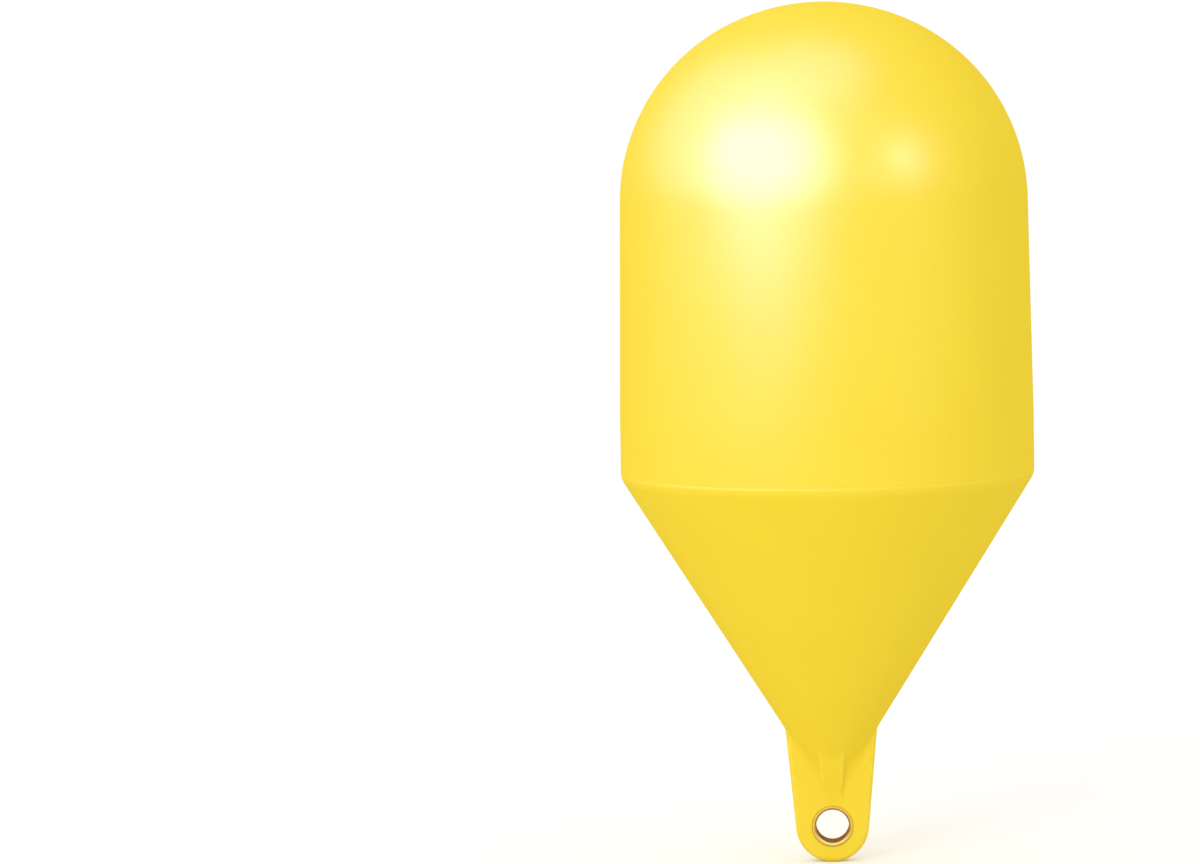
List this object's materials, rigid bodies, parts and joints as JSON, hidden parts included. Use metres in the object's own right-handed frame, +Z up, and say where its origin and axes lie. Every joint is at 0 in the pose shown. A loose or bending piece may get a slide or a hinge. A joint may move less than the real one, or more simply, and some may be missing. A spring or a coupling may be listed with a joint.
{
  "type": "marker buoy",
  "caption": "Cylindrical marker buoy: hollow plastic float with a domed top, a cone foot and a flat mooring lug with a brass eye bush.",
  "frame": {"origin": "centre of the waterline on the buoy's axis, as it floats moored", "axes": "+Z up along the buoy's axis towards the dome, +Y along the bore of the mooring eye, +X across the flat of the mooring lug"},
  "size_m": [0.3999, 0.4, 0.8336],
  "materials": {
    "float_plastic": "satin yellow polyethylene",
    "bush_brass": "turned brass, slightly tarnished"
  },
  "bodies": {
    "root": {"upper_shell": "float_plastic", "lower_shell": "float_plastic", "eye_bush": "bush_brass"}
  },
  "joints": []
}
